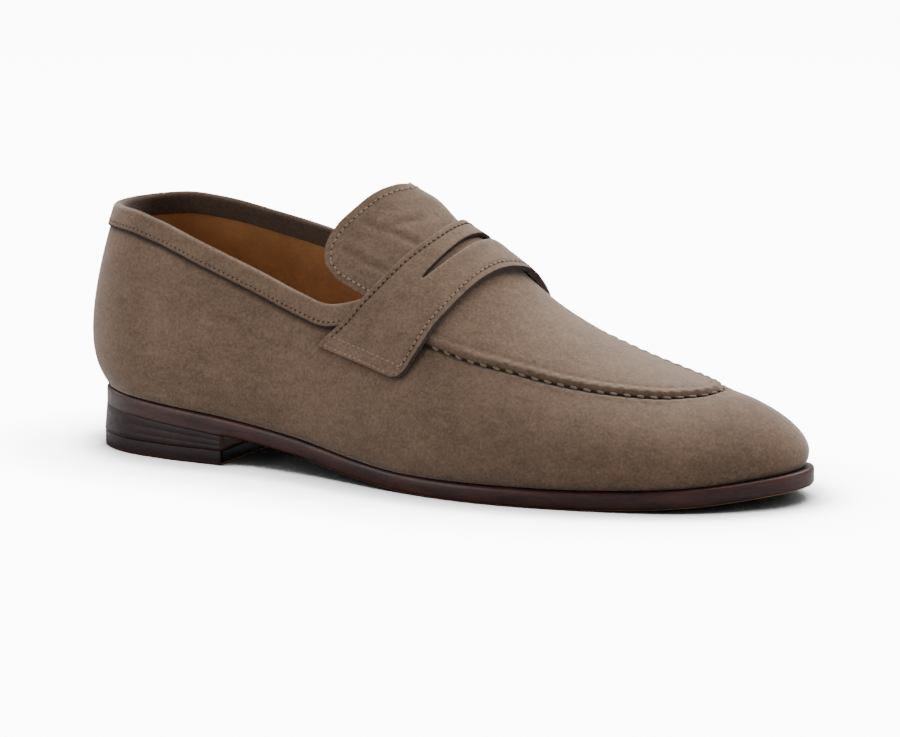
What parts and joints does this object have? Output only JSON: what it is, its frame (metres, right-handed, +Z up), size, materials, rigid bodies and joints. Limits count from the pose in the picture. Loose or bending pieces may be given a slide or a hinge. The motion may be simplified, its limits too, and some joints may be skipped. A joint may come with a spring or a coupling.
{
  "type": "suede penny loafer",
  "caption": "Low slip-on shoe in brown suede with a raised apron toe, a slotted saddle strap over the instep, a leather sole and a stacked heel.",
  "frame": {"origin": "on the floor under the middle of the shoe's bounding box", "axes": "+X towards the toe, +Y towards the inner side of this right foot, +Z up"},
  "size_m": [0.3016, 0.1002, 0.1092],
  "materials": {
    "sole_leather": "burnished dark edge over natural leather",
    "heel_leather": "stacked lifts with a dark polished edge",
    "top_lift_leather": "leather wearing layer with a dark edge",
    "sock_leather": "smooth tan lining leather",
    "suede": "napped suede, matt",
    "suede_trim": "napped suede with tone on tone stitching"
  },
  "bodies": {
    "root": {"outsole": "sole_leather", "heel_stack": "heel_leather", "top_lift": "top_lift_leather", "insole": "sock_leather", "upper": "suede", "collar_band": "suede_trim", "apron": "suede", "tongue": "suede", "saddle_strap": "suede_trim"}
  },
  "joints": []
}
